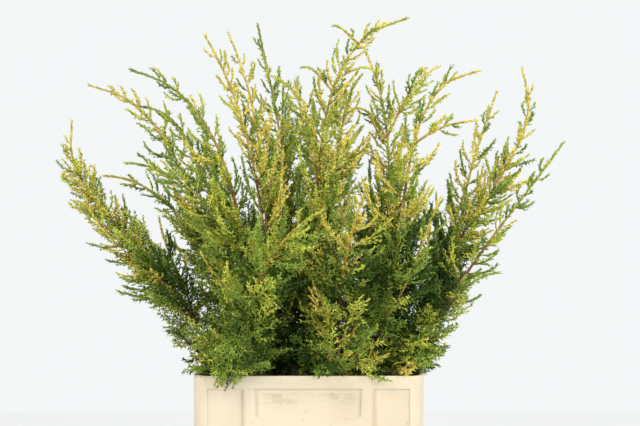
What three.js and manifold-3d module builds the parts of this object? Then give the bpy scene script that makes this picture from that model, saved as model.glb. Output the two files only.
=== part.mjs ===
// Golden juniper stems standing in a cream plastic flower tub.
// Millimetres, +Z up. The origin is the middle of the tub's flat underside, +X runs to the
// right along the tub's label side, and +Y runs away from that side.
import * as THREE from 'three';
import { mergeVertices } from 'three/addons/utils/BufferGeometryUtils.js';
import Module from 'manifold-3d';

const wasm = await Module();
wasm.setup();

// Driving sizes of the tub
const TUB = { width: 340, depth: 250, height: 300, cornerRadius: 24, floor: 3, draft: 0.01 };
const THICK_WALL = 5;      // at the rim, the corners and the label block
const PANEL_RELIEF = 2.2;  // how far the side panels lie behind the rim
const RIM_BAND = 19;       // plain band under the rim's edge
const FOOT_BAND = 26;      // plain band round the foot
const CORNER_BAND = 22;    // plain upright band at each corner
const LABEL_BLOCK = 191;   // width of the upright block in the middle of a long side
const LABEL = {
  width: 155, height: 42, taper: 2, slant: 7, notchWidth: 69, notchTaper: 3, notchDrop: 12, depth: 1.6,
};

// Driving sizes of the stems
const TOUCH = 0.3;         // gap left where two pieces meet
const CLEARANCE = TOUCH / Math.cos(Math.PI / 6);  // keeps that gap at the flats of a six-sided stem
const STEM_FOOT_RADIUS = 4.6;
const STEM_TIP_RADIUS = 0.9;
const STEM_SIDES = 6;
const STEM_STEPS = 7;
const SHOOT_SIDES = 3;
const FORK_RADIUS = 1.8;
const FOOT_PULL = 0.5;     // a stem's foot stands this share of the way out to its rim crossing
const STRAIGHT_AT = [0, 0.45, 0.9];  // shares of the way to the rim up to which a stem is straight
const PLUME_START = 320;   // height at which a stem's own foliage begins

// The stems: where each crosses the rim and where its tip is, with the slopes in degrees at
// which it rises there and ends. Forks leave the leader at a stated height.
const STEMS = {
  left_low: {
    rim: [-145, 6], tip: [-371, 0, 683], rise: 67, end: 102, tint: 'gold', lush: 0.85,
    forks: [
      { at: 350, tip: [-238, 24, 530], rise: 72, end: 80 },
      { at: 395, tip: [-344, -40, 566], rise: 46, end: 75 },
    ],
  },
  left_arching: {
    rim: [-104, 62], tip: [-369, 120, 751], rise: 72, end: 10, tint: 'yellow_green',
    forks: [{ at: 430, tip: [-331, 60, 598], rise: 62, end: 2 }],
  },
  left_green: {
    rim: [-98, -44], tip: [-264, -110, 750], rise: 94, end: 9, tint: 'green',
    forks: [
      { at: 440, tip: [-259, -40, 701], rise: 62, end: 5 },
      { at: 400, tip: [-264, -150, 610], rise: 80, end: 0 },
    ],
  },
  left_gold: {
    rim: [-52, -30], tip: [-156, -70, 806], rise: 86, end: 59, tint: 'gold',
    forks: [{ at: 450, tip: [-128, 20, 822], rise: 88, end: 60 }],
  },
  back_green: {
    rim: [-36, 66], tip: [-88, 130, 856], rise: 98, end: 72, tint: 'green',
    forks: [{ at: 470, tip: [-45, 150, 752], rise: 60, end: 110 }],
  },
  centre: {
    rim: [18, -22], tip: [148, -60, 833], rise: 92, end: 8, tint: 'gold',
    forks: [
      { at: 512, tip: [82, 0, 754], rise: 64, end: 50 },
      { at: 574, tip: [-58, 0, 752], rise: 80, end: 20 },
      { at: 725, tip: [-10, -20, 763], rise: 50, end: -8 },
      { at: 745, tip: [97, -30, 758], rise: 28, end: -35 },
      { at: 797, tip: [38, -50, 823], rise: 35, end: 0 },
    ],
  },
  right_upright: {
    rim: [122, 58], tip: [90, 80, 804], rise: 90, end: 62, tint: 'yellow_green',
    forks: [
      { at: 660, tip: [214, 105, 780], rise: 62, end: 22 },
      { at: 655, tip: [71, 90, 709], rise: 60, end: -10 },
    ],
  },
  right_arching: {
    rim: [92, -46], tip: [252, -110, 748], rise: 70, end: 5, tint: 'yellow_green',
    forks: [
      { at: 640, tip: [243, -130, 673], rise: 35, end: 5 },
      { at: 370, tip: [192, -130, 560], rise: 50, end: 60 },
    ],
  },
  right_tall: {
    rim: [146, 28], tip: [343, 60, 772], rise: 74, end: 112, tint: 'gold',
    forks: [{ at: 420, tip: [314, 140, 741], rise: 60, end: 60 }],
  },
  right_low: {
    rim: [150, -34], tip: [390, -40, 647], rise: 60, end: 55, tint: 'green', lush: 0.75,
    forks: [{ at: 355, tip: [282, -90, 449], rise: 50, end: 5 }],
  },
  front_left: { rim: [-104, -98], tip: [21, -240, 542], rise: 85, end: 20, tint: 'yellow_green' },
  front_right: { rim: [46, -98], tip: [83, -220, 577], rise: 100, end: 40, tint: 'gold' },
  back_left: { rim: [-92, 104], tip: [-190, 250, 655], rise: 90, end: 35, tint: 'green' },
  back_middle: { rim: [14, 104], tip: [30, 285, 680], rise: 90, end: 30, tint: 'yellow_green' },
  back_right: { rim: [90, 104], tip: [160, 245, 608], rise: 90, end: 30, tint: 'green' },
};
const HANDLES = [0.48, 0.3];  // how strongly a shoot keeps its slopes, as shares of its length

// The skirt: an oval ring of low shoots that leave the stems just above the rim and spread over
// it, a little further and higher towards the left
const SKIRT = {
  count: 12, firstAngle: 12, middle: -24, reachX: 198, reachY: 188, height: 352, slope: -0.02,
  from: 305, stagger: 4, rise: 25, end: -4,
};

// How the foliage is drawn out: how far apart the twigs leave a shoot, how long they are low
// down and at the tip, and the angles at which they open there
const PLUME = { every: 37, reach: 128, tipReach: 17, openLow: 50, openHigh: 30 };
const SKIRT_PLUME = { every: 14, reach: 92, tipReach: 26, openLow: 62, openHigh: 42 };
const FORK_LUSH = 0.7;     // twigs on a fork are this share as long
const FORK_FULL = 260;     // and on a fork shorter than this they shorten with it
const REACH_POWER = 1.1;   // how early a plume narrows towards its tip
const REACH_JITTER = 0.15;
const TURN_JITTER = 0.7;
const GOLDEN_ANGLE = THREE.MathUtils.degToRad(137.5);
const LAST_SPRAY = 1.8;    // the spray at a shoot's tip is this many tip twigs long
const TWIG_SINK = 5;       // how far that spray is sunk into its shoot

// Shares of its full length and opening that a spray tries, and sixths of a turn, for room
const TRIED_SIZES = [
  [1, 1], [1, 0.6], [1, 0.35], [0.85, 0.9], [0.85, 0.45], [0.7, 0.8], [0.7, 0.4], [0.55, 0.7],
  [0.42, 0.8],
];
const TRIED_TURNS = [0, 1, -1, 2, -2, 3];
const TESTED_AT = [0.25, 0.4, 0.55, 0.7, 0.85];  // shares along its rib at which a spray is tested
const ROOT_SHARE = 0.2;    // a spray may touch its neighbours this far along
const BESIDE = 0.18;       // past that, sprays of one mass keep this share of their length apart
const TWIG_ROOM = 5;       // and keep this far off the shoots they don't grow from
const SPACE_MARGIN = 1.6;  // foliage stays this far inside its own space
const LIMB_MARGIN = 2.6;   // and this far off every stem
const TUB_MARGIN = 3;      // and this far off the tub

const TINTS = {
  gold: { color: 0xb3a13c, roughness: 0.75 },
  yellow_green: { color: 0x8a9b3b, roughness: 0.75 },
  green: { color: 0x4f7a38, roughness: 0.75 },
  deep_green: { color: 0x35562c, roughness: 0.8 },
};

// Random numbers that come out the same on every run
function dice(seed) {
  let state = seed >>> 0;
  return () => {
    state = (Math.imul(state, 1664525) + 1013904223) >>> 0;
    return state / 4294967296;
  };
}

// A geometry as a solid that can be joined and cut, and back
function solidOf(geometry) {
  const bare = geometry.clone();
  bare.deleteAttribute('normal');
  bare.deleteAttribute('uv');
  const merged = mergeVertices(bare, 1e-3);
  return new wasm.Manifold(new wasm.Mesh({
    numProp: 3,
    vertProperties: merged.attributes.position.array,
    triVerts: new Uint32Array(merged.index.array),
  }));
}

function geometryOf(solid) {
  const mesh = solid.getMesh();
  const geometry = new THREE.BufferGeometry();
  geometry.setAttribute('position', new THREE.BufferAttribute(mesh.vertProperties, 3));
  geometry.setIndex(new THREE.BufferAttribute(mesh.triVerts, 1));
  geometry.computeVertexNormals();
  return geometry;
}

// The largest single body of a solid: fills sealed hollows and drops loose scraps
function mainBody(solid) {
  return solid.decompose().reduce((best, body) => (body.volume() > best.volume() ? body : best));
}

// The tub

function roundedRectangle(width, depth, radius) {
  const x = width / 2 - radius;
  const y = depth / 2 - radius;
  const shape = new THREE.Shape();
  shape.absarc(x, y, radius, 0, Math.PI / 2);
  shape.absarc(-x, y, radius, Math.PI / 2, Math.PI);
  shape.absarc(-x, -y, radius, Math.PI, Math.PI * 1.5);
  shape.absarc(x, -y, radius, Math.PI * 1.5, Math.PI * 2);
  shape.closePath();
  return shape;
}

function upright(shape, bottom, top) {
  const geometry = new THREE.ExtrudeGeometry(shape, {
    depth: top - bottom, bevelEnabled: false, curveSegments: 6,
  });
  return solidOf(geometry.translate(0, 0, bottom));
}

function block(width, depth, bottom, top, x, y) {
  const geometry = new THREE.BoxGeometry(width, depth, top - bottom);
  return solidOf(geometry.translate(x, y, (bottom + top) / 2));
}

// The label recess: a shallow field whose lower edge drops to a thumb notch in the middle
function labelRecess() {
  const top = TUB.height - RIM_BAND;
  const side = LABEL.width / 2;
  const low = top - LABEL.height;
  const notch = LABEL.notchWidth / 2;
  const outline = new THREE.Shape();
  outline.moveTo(-side, top);
  outline.lineTo(-side + LABEL.taper, low);
  outline.lineTo(-notch, low - LABEL.slant);
  outline.lineTo(-notch + LABEL.notchTaper, low - LABEL.notchDrop);
  outline.lineTo(notch - LABEL.notchTaper, low - LABEL.notchDrop);
  outline.lineTo(notch, low - LABEL.slant);
  outline.lineTo(side - LABEL.taper, low);
  outline.lineTo(side, top);
  outline.closePath();
  const geometry = new THREE.ExtrudeGeometry(outline, { depth: LABEL.depth + 1, bevelEnabled: false });
  geometry.rotateX(Math.PI / 2);
  return solidOf(geometry.translate(0, -TUB.depth / 2 + LABEL.depth, 0));
}

function makeTub() {
  const { width, depth, height, cornerRadius, floor, draft } = TUB;
  let tub = upright(roundedRectangle(width, depth, cornerRadius), 0, height);
  const hollow = roundedRectangle(
    width - 2 * THICK_WALL, depth - 2 * THICK_WALL, cornerRadius - THICK_WALL);
  tub = tub.subtract(upright(hollow, floor, height + 1));

  const low = FOOT_BAND;
  const high = height - RIM_BAND;
  const frontPanel = width / 2 - CORNER_BAND - LABEL_BLOCK / 2;
  const frontPanelMiddle = (LABEL_BLOCK / 2 + width / 2 - CORNER_BAND) / 2;
  const sidePanel = depth - 2 * CORNER_BAND;
  for (const facing of [-1, 1]) {
    for (const hand of [-1, 1]) {
      tub = tub.subtract(block(
        frontPanel, 2 * PANEL_RELIEF, low, high, hand * frontPanelMiddle, facing * depth / 2));
    }
    tub = tub.subtract(block(2 * PANEL_RELIEF, sidePanel, low, high, facing * width / 2, 0));
  }
  tub = tub.subtract(labelRecess());

  // The walls draw in a little towards the foot
  return geometryOf(tub.warp((v) => {
    const share = 1 - draft * (1 - v[2] / height);
    v[0] *= share;
    v[1] *= share;
  }));
}

// The stems

// The line of a shoot from its start to its tip, in the upright plane through both
function shootLine(start, { tip, rise, end }) {
  const goal = new THREE.Vector3(...tip);
  const heading = goal.clone().sub(start).setZ(0).normalize();
  const length = goal.distanceTo(start);
  const handle = (degrees, share) => {
    const slope = THREE.MathUtils.degToRad(degrees);
    const direction = heading.clone().multiplyScalar(Math.cos(slope)).setZ(Math.sin(slope));
    return direction.multiplyScalar(share * length);
  };
  const first = start.clone().add(handle(rise, HANDLES[0]));
  const second = goal.clone().sub(handle(end, HANDLES[1]));
  return new THREE.CubicBezierCurve3(start, first, second, goal);
}

// The whole line of a stem: straight from its foot on the tub's floor to the rim, then its shoot
function stemLine(row) {
  const [x, y] = row.rim;
  const crossing = new THREE.Vector3(x, y, TUB.height);
  const foot = new THREE.Vector3(x * FOOT_PULL, y * FOOT_PULL, TUB.floor + TOUCH);
  const points = STRAIGHT_AT.map((share) => foot.clone().lerp(crossing, share));
  const above = shootLine(crossing, row);
  for (let i = 1; i <= STEM_STEPS; i++) points.push(above.getPoint(i / STEM_STEPS));
  return new THREE.CatmullRomCurve3(points);
}

// Part of a longer line, from share a to share b of its length
class Span extends THREE.Curve {
  constructor(whole, a, b) {
    super();
    this.whole = whole;
    this.a = a;
    this.b = b;
  }

  getPoint(t, target = new THREE.Vector3()) {
    return this.whole.getPointAt(this.a + (this.b - this.a) * t, target);
  }
}

// The share of a rising line's length at which it reaches a height
function shareAtHeight(line, height) {
  let low = 0;
  let high = 1;
  for (let i = 0; i < 30; i++) {
    const middle = (low + high) / 2;
    if (line.getPointAt(middle).z < height) low = middle;
    else high = middle;
  }
  return (low + high) / 2;
}

function stemRadius(share) {
  return STEM_TIP_RADIUS + (STEM_FOOT_RADIUS - STEM_TIP_RADIUS) * (1 - share) ** 1.1;
}

// A closed, tapering limb along a line. A flat foot is cut level with the ground.
function limb(line, footRadius, tipRadius, sides, steps, flatFoot = false) {
  const geometry = new THREE.CylinderGeometry(tipRadius, footRadius, 1, sides, steps);
  const { normals, binormals } = line.computeFrenetFrames(steps, false);
  const position = geometry.attributes.position;
  const spot = new THREE.Vector3();
  for (let i = 0; i < position.count; i++) {
    const ring = Math.round((position.getY(i) + 0.5) * steps);
    line.getPointAt(ring / steps, spot);
    const level = spot.z;
    spot.addScaledVector(normals[ring], position.getX(i));
    spot.addScaledVector(binormals[ring], -position.getZ(i));
    if (flatFoot && ring === 0) spot.z = level;
    position.setXYZ(i, spot.x, spot.y, spot.z);
  }
  return solidOf(geometry);
}

// The foliage

// Half outlines of a twig with its flat spray of needles, from the widening above its root to
// the notch under its tip, as shares of the length and of the half width
const SPRAYS = [
  { upTo: 34, half: [[0.55, 1], [0.42, 0.26]] },
  { upTo: 95, half: [[0.09, 0.13], [0.47, 1], [0.36, 0.26], [0.75, 0.7], [0.64, 0.15]] },
  {
    upTo: Infinity,
    half: [[0.08, 0.12], [0.36, 0.88], [0.29, 0.24], [0.6, 1], [0.47, 0.27], [0.82, 0.6], [0.74, 0.14]],
  },
];
const SPRAY_RIB = [0.08, 0.26];  // where a spray's raised rib starts and ends
const SPRAY_WIDTH = 0.42;        // half width as a share of length
const SPRAY_THICKNESS = 1.6;
const SPRAY_SLIMNESS = 40;       // a long spray is this many times as long as it is thick
const SPRAY_ROLL = 1.3;          // how far a spray is rolled about its twig, in radians
const ROLL_STEP = 0.2;           // and how much further for each sixth of a turn tried
const SMOOTHING = 0.1;           // slivers under this size are smoothed away

// A toothed spray that lies along +X, its faces towards +Z and -Z
function sprayGeometry(length) {
  const { half } = SPRAYS.find(({ upTo }) => length < upTo);
  const outline = [[0, 0], ...half.map(([u, v]) => [u, -v]), [1, 0], ...half.toReversed()];
  const thick = Math.max(SPRAY_THICKNESS, length / SPRAY_SLIMNESS) / 2;
  const points = outline.map(([u, v]) => [u * length, v * SPRAY_WIDTH * length, 0]);
  const count = points.length;
  for (const z of [thick, -thick]) points.push(...SPRAY_RIB.map((u) => [u * length, 0, z]));
  const index = [];
  const face = (a, b, c, top) => index.push(...(top ? [a, b, c] : [b, a, c]));
  for (const top of [true, false]) {
    const low = top ? count : count + 2;
    const high = low + 1;
    for (let i = 0; i < count; i++) {
      const besideRoot = i === 0 || i === count - 1;
      face(i, (i + 1) % count, besideRoot ? low : high, top);
    }
    face(1, high, low, top);
    face(high, count - 1, low, top);
  }
  const geometry = new THREE.BufferGeometry();
  geometry.setAttribute('position', new THREE.Float32BufferAttribute(points.flat(), 3));
  return geometry.setIndex(index);
}

// Turns a piece that lies along +X to point along a direction, its flat side square to up
function aim(geometry, root, along, up) {
  const x = along.clone().normalize();
  const y = up.clone().cross(x).normalize();
  const z = x.clone().cross(y);
  const turn = new THREE.Matrix4().makeBasis(x, y, z).setPosition(root);
  return geometry.applyMatrix4(turn);
}

// A unit vector square to a line, turned about it
function sideways(along, turn) {
  const side = new THREE.Vector3(0, 0, 1).cross(along);
  if (side.length() < 0.05) side.set(1, 0, 0);
  side.normalize();
  return side.applyAxisAngle(along, turn);
}

// Points along a line, for measuring distances to it
function polyline(line, steps) {
  return Array.from({ length: steps + 1 }, (_, i) => line.getPointAt(i / steps));
}

const stretch = new THREE.Line3();
const nearest = new THREE.Vector3();
function distanceTo(points, spot) {
  let best = Infinity;
  for (let i = 0; i + 1 < points.length; i++) {
    stretch.set(points[i], points[i + 1]).closestPointToPoint(spot, true, nearest);
    best = Math.min(best, nearest.distanceTo(spot));
  }
  return best;
}

// Every limb and every mass, each known by its lines before any foliage grows
const limbs = [];
const masses = [];

const tubRoom = upright(
  roundedRectangle(TUB.width + TUB_MARGIN, TUB.depth + TUB_MARGIN, TUB.cornerRadius),
  0, TUB.height + TUB_MARGIN / 2);

function outsideTub(spot) {
  return spot.z > TUB.height + TUB_MARGIN
    || Math.abs(spot.x) > TUB.width / 2 + TUB_MARGIN
    || Math.abs(spot.y) > TUB.depth / 2 + TUB_MARGIN;
}

// How far a point is from the nearest shoot of a mass
function distanceToMass(mass, spot) {
  return Math.min(...mass.shoots.map(({ points }) => distanceTo(points, spot)));
}

// Whether a point is free for a mass: nearer to its own shoots than to any other's, clear of
// every stem and clear of the tub
function isFree(spot, mass) {
  if (!outsideTub(spot)) return false;
  for (const other of limbs) {
    if (distanceTo(other.points, spot) < other.radius + LIMB_MARGIN) return false;
  }
  const own = distanceToMass(mass, spot) + SPACE_MARGIN + FORK_RADIUS;
  return masses.every((other) => other === mass || distanceToMass(other, spot) > own);
}

// Whether a spray keeps to its mass's own space and, past its root, off the sprays beside it
// and the shoots it doesn't grow from
function clears(spray, mass, shoot, rib, ribs) {
  const [root, tip] = rib;
  const length = root.distanceTo(tip);
  const probes = TESTED_AT.map((share) => root.clone().lerp(tip, share));
  const corners = spray.attributes.position;
  for (let i = 0; i < corners.count; i++) {
    probes.push(new THREE.Vector3().fromBufferAttribute(corners, i));
  }
  return probes.every((spot) => {
    const out = spot.distanceTo(root);
    if (out > FORK_RADIUS * 4 && !isFree(spot, mass)) return false;
    if (out < length * ROOT_SHARE) return true;
    const besides = (other) => distanceTo(other, spot) < BESIDE * other[0].distanceTo(other[1]);
    if (ribs.some(besides)) return false;
    return mass.shoots.every((other) => {
      const room = other === shoot ? TWIG_ROOM / 2 : TWIG_ROOM;
      return distanceTo(other.points, spot) > room;
    });
  });
}

// The largest spray that can leave a shoot there, turned to where there is room for it
function fitSpray(mass, shoot, { root, axis, out, open, full }, ribs) {
  for (const [size, lean] of TRIED_SIZES) {
    for (const turn of TRIED_TURNS) {
      const away = out.clone().applyAxisAngle(axis, turn * Math.PI / 3);
      const along = axis.clone().applyAxisAngle(axis.clone().cross(away), open * lean);
      const up = away.clone().cross(axis).applyAxisAngle(along, SPRAY_ROLL + turn * ROLL_STEP);
      const spray = aim(sprayGeometry(full * size), root, along, up);
      const rib = [root, root.clone().addScaledVector(along, full * size)];
      if (clears(spray, mass, shoot, rib, ribs)) {
        ribs.push(rib);
        return solidOf(spray);
      }
    }
  }
  return null;
}

// The twigs of one shoot: where each leaves it, which way it heads and how long it would be
function twigsOf(shoot, rule, last, roll) {
  const { line, bare, lush } = shoot;
  const count = Math.round(line.getLength() * (last - bare) / rule.every);
  return Array.from({ length: count }, (_, i) => {
    const t = bare + (last - bare) * (i + 0.3) / count;
    const axis = line.getTangentAt(t);
    const out = sideways(axis, i * GOLDEN_ANGLE + roll() * TURN_JITTER);
    const open = THREE.MathUtils.degToRad(THREE.MathUtils.lerp(rule.openLow, rule.openHigh, t));
    const reach = THREE.MathUtils.lerp(rule.tipReach, rule.reach * lush, (1 - t * t) ** REACH_POWER);
    const full = reach * (1 + REACH_JITTER * (2 * roll() - 1));
    return { root: line.getPointAt(t), axis, out, open, full };
  });
}

// Grows a mass: shoots with twigs and sprays all round them, in a rule that opens low down and
// closes towards the tip
function grow(mass) {
  const { rule } = mass;
  const roll = dice(mass.seed);
  const ribs = [];
  const parts = [];
  for (const shoot of mass.shoots) {
    const { line, radius, steps } = shoot;
    const length = line.getLength();
    const last = 1 - Math.min(0.5, rule.tipReach * LAST_SPRAY / length);
    const body = new Span(line, 0, last + TWIG_SINK / length);
    parts.push(limb(body, radius, STEM_TIP_RADIUS, SHOOT_SIDES, steps));
    for (const twig of twigsOf(shoot, rule, last, roll)) {
      const spray = fitSpray(mass, shoot, twig, ribs);
      if (spray) parts.push(spray);
    }
    // The last spray goes on from the shoot's end to its tip
    const end = line.getPointAt(1);
    const back = line.getPointAt(last);
    const along = end.clone().sub(back).normalize();
    parts.push(solidOf(aim(sprayGeometry(end.distanceTo(back)), back, along, sideways(along, 1))));
  }
  let solid = wasm.Manifold.union(parts).subtract(tubRoom);
  for (const other of limbs) {
    if (other !== mass.bough) solid = solid.subtract(other.clearance);
  }
  return mainBody(mainBody(solid).simplify(SMOOTHING));
}

// Putting it together

const shrub = new THREE.Group();

function addNode(name, geometry, look) {
  const mesh = new THREE.Mesh(geometry, new THREE.MeshStandardMaterial({ metalness: 0, ...look }));
  mesh.name = name;
  shrub.add(mesh);
}

addNode('tub', makeTub(), { color: 0xf2e2bd, roughness: 0.45 });

// Stems run whole from the tub's floor to where their own foliage begins
const stemLines = [];
for (const [name, row] of Object.entries(STEMS)) {
  const line = stemLine(row);
  stemLines.push(line);
  const start = shareAtHeight(line, PLUME_START);
  const bare = new Span(line, 0, start);
  const tipRadius = stemRadius(start);
  const bough = {
    radius: tipRadius,
    points: polyline(bare, 16),
    clearance: limb(
      bare, STEM_FOOT_RADIUS + CLEARANCE, tipRadius + CLEARANCE, STEM_SIDES, STEM_STEPS),
  };
  limbs.push(bough);
  const solid = limb(bare, STEM_FOOT_RADIUS, tipRadius, STEM_SIDES, STEM_STEPS, true);
  addNode(`stem_${name}`, geometryOf(solid), { color: 0x6a4630, roughness: 0.85 });

  const leader = new Span(line, start + TOUCH / line.getLength(), 1);
  const { lush = 1, forks = [], tint } = row;
  const shoots = [
    { line: leader, radius: tipRadius, bare: 0.03, lush, steps: 9, points: polyline(leader, 14) },
    ...forks.map((fork) => {
      const side = shootLine(line.getPointAt(shareAtHeight(line, fork.at)), fork);
      const forkLush = lush * FORK_LUSH * Math.min(1, side.getLength() / FORK_FULL);
      return {
        line: side, radius: FORK_RADIUS, bare: 0.2, lush: forkLush, steps: 5,
        points: polyline(side, 10),
      };
    }),
  ];
  masses.push({ name: `foliage_${name}`, bough, shoots, rule: PLUME, tint, seed: masses.length + 1 });
}

// Each shoot of the skirt leaves the stem nearest to where it reaches
for (let i = 0; i < SKIRT.count; i++) {
  const angle = THREE.MathUtils.degToRad(SKIRT.firstAngle + i * 360 / SKIRT.count);
  const x = SKIRT.middle + SKIRT.reachX * Math.cos(angle);
  const tip = [x, SKIRT.reachY * Math.sin(angle), SKIRT.height + SKIRT.slope * x];
  const goal = new THREE.Vector3(...tip);
  const from = SKIRT.from + (i % 3) * SKIRT.stagger;
  const starts = stemLines.map((line) => line.getPointAt(shareAtHeight(line, from)));
  const start = starts.reduce((a, b) => (a.distanceTo(goal) < b.distanceTo(goal) ? a : b));
  const line = shootLine(start, { tip, rise: SKIRT.rise, end: SKIRT.end });
  const shoots = [
    { line, radius: FORK_RADIUS, bare: 0.16, lush: 1, steps: 2, points: polyline(line, 6) },
  ];
  const tint = i % 3 === 1 ? 'yellow_green' : 'deep_green';
  masses.push({ name: `skirt_${i + 1}`, shoots, rule: SKIRT_PLUME, tint, seed: masses.length + 1 });
}

for (const mass of masses) addNode(mass.name, geometryOf(grow(mass)), TINTS[mass.tint]);

export default shrub;
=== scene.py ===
import math

import bmesh
import bpy
import numpy as np
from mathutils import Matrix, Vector


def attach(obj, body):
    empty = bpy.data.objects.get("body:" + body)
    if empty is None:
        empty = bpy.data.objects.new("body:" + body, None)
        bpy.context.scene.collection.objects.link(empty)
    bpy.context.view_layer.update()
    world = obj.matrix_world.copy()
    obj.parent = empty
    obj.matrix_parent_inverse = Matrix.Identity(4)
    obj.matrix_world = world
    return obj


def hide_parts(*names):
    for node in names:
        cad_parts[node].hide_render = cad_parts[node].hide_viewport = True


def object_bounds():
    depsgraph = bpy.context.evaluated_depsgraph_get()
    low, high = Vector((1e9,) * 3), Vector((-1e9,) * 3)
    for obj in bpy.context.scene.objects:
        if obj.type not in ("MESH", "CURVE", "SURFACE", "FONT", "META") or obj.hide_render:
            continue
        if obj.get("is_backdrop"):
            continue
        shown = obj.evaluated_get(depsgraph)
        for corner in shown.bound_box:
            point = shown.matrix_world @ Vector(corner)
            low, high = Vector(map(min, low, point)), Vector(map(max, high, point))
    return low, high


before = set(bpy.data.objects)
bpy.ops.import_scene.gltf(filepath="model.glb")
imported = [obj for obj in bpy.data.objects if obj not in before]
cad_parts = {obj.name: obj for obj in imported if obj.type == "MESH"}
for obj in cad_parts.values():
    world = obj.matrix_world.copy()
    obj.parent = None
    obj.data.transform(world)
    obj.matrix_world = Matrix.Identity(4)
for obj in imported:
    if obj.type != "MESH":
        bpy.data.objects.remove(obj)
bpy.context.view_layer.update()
bpy.ops.object.select_all(action="DESELECT")


# The studio
# A pale matt floor that runs off in front of a white background, lit softly from all round,
# with one broad lamp high at the left front and a weaker one at the right.

FLOOR_SIDE = 9.0
FLOOR_BACK = 1.346        # where the floor meets the background behind the tub
FLOOR_GREY = (0.79, 0.79, 0.78, 1)
WHITE = (0.905, 0.925, 0.93, 1)

world = bpy.data.worlds.new("studio")
bpy.context.scene.world = world
world.use_nodes = True
world.node_tree.nodes["Background"].inputs["Color"].default_value = WHITE
world.node_tree.nodes["Background"].inputs["Strength"].default_value = 1.0
bpy.context.scene.view_settings.view_transform = "Standard"

bpy.ops.mesh.primitive_plane_add(size=FLOOR_SIDE, location=(0, FLOOR_BACK - FLOOR_SIDE / 2, 0))
floor = bpy.context.object
floor.name = "floor"
floor_paint = bpy.data.materials.new("matt_floor_paint")
floor_paint.use_nodes = True
shader = floor_paint.node_tree.nodes["Principled BSDF"]
shader.inputs["Base Color"].default_value = FLOOR_GREY
shader.inputs["Roughness"].default_value = 0.9
floor.data.materials.append(floor_paint)
floor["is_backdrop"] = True


def soft_lamp(name, place, target, size, power):
    bpy.ops.object.light_add(type="AREA", location=place)
    lamp = bpy.context.object
    lamp.name = name
    lamp.data.size = size
    lamp.data.energy = power
    lamp.visible_camera = False
    lamp.rotation_euler = (Vector(target) - Vector(place)).to_track_quat("-Z", "Y").to_euler()


soft_lamp("lamp_left", (-1.3, -2.0, 2.3), (0, 0, 0.5), 1.2, 44)
soft_lamp("lamp_right", (1.7, -1.7, 1.5), (0, 0, 0.45), 1.4, 38)

# The camera stands level, a little above the middle of the crown, and looks straight back
CAMERA_PLACE = (0.0168, -1.868, 0.538)
FOCAL_PIXELS = 1194.7
PICTURE_WIDTH = 640
SENSOR_WIDTH = 36

bpy.ops.object.camera_add(location=CAMERA_PLACE, rotation=(math.pi / 2, 0, 0))
camera = bpy.context.object
camera.data.sensor_width = SENSOR_WIDTH
camera.data.lens = SENSOR_WIDTH * FOCAL_PIXELS / PICTURE_WIDTH
bpy.context.scene.camera = camera


# The tub
# A flower tub injection moulded in one piece of cream polypropylene: plain bands at rim, foot
# and corners, sunk panels between them, and a block with a shallow label recess in front.

TUB_SIZE = (340, 250, 300)
TUB_EDGE = 0.0009         # how far the mould rounds every edge
SAME_PLANE = math.radians(1.5)
EDGE_OVER = math.radians(28)     # faces that meet at more than this have an edge to round
SMOOTH_BELOW = math.radians(32)

tub_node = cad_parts["tub"]
tub = bpy.data.objects.new("tub_moulding", tub_node.data.copy())
bpy.context.scene.collection.objects.link(tub)
shell = bmesh.new()
shell.from_mesh(tub.data)
bmesh.ops.remove_doubles(shell, verts=shell.verts, dist=1e-5)
bmesh.ops.dissolve_limit(shell, angle_limit=SAME_PLANE, verts=shell.verts, edges=shell.edges)
shell.to_mesh(tub.data)
shell.free()
bpy.context.view_layer.objects.active = tub
tub.select_set(True)
rounding = tub.modifiers.new("rounding", "BEVEL")
rounding.width = TUB_EDGE
rounding.segments = 3
rounding.limit_method = "ANGLE"
rounding.angle_limit = EDGE_OVER
bpy.ops.object.modifier_apply(modifier="rounding")
bpy.ops.object.shade_smooth_by_angle(angle=SMOOTH_BELOW)
tub.select_set(False)


def node(tree, kind, **values):
    """A shader node with its settings and input values, by name."""
    made = tree.nodes.new(kind)
    for name, value in values.items():
        if name in made.inputs:
            made.inputs[name].default_value = value
        else:
            setattr(made, name, value)
    return made


def fed(kind, value, **values):
    """A shader node of that kind whose first input is a socket."""
    tree = value.id_data
    made = node(tree, kind, **values)
    tree.links.new(value, made.inputs[0])
    return made


def noise(place, scale, detail=4.0, stretch=None):
    """The height of a cloudy pattern, from 0 to 1, on a place in the object."""
    if stretch:
        place = fed("ShaderNodeMapping", place, Scale=stretch).outputs["Vector"]
    return fed("ShaderNodeTexNoise", place, Scale=scale, Detail=detail).outputs["Fac"]


def ramp(value, low, high, from_value=0.0, to_value=1.0):
    """Spreads the part of a value between low and high over another range."""
    limits = {"From Min": low, "From Max": high, "To Min": from_value, "To Max": to_value}
    return fed("ShaderNodeMapRange", value, **limits).outputs["Result"]


def mixed(share, first, second):
    """A colour between two others, which are colours or sockets."""
    mix = fed("ShaderNodeMix", share, data_type="RGBA")
    for name, colour in (("A", first), ("B", second)):
        socket = [s for s in mix.inputs if s.name == name and s.type == "RGBA"][0]
        if isinstance(colour, tuple):
            socket.default_value = colour
        else:
            share.id_data.links.new(colour, socket)
    return [s for s in mix.outputs if s.type == "RGBA"][0]


def worked(operation, first, second=None):
    """What a sum comes to on a socket, and a number or another socket."""
    made = fed("ShaderNodeMath", first, operation=operation)
    if isinstance(second, float):
        made.inputs[1].default_value = second
    elif second:
        first.id_data.links.new(second, made.inputs[1])
    return made.outputs[0]


def bumped(height, strength, distance):
    """A normal that follows a height pattern."""
    tree = height.id_data
    bump = node(tree, "ShaderNodeBump", Strength=strength, Distance=distance)
    tree.links.new(height, bump.inputs["Height"])
    return bump.outputs["Normal"]


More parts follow.
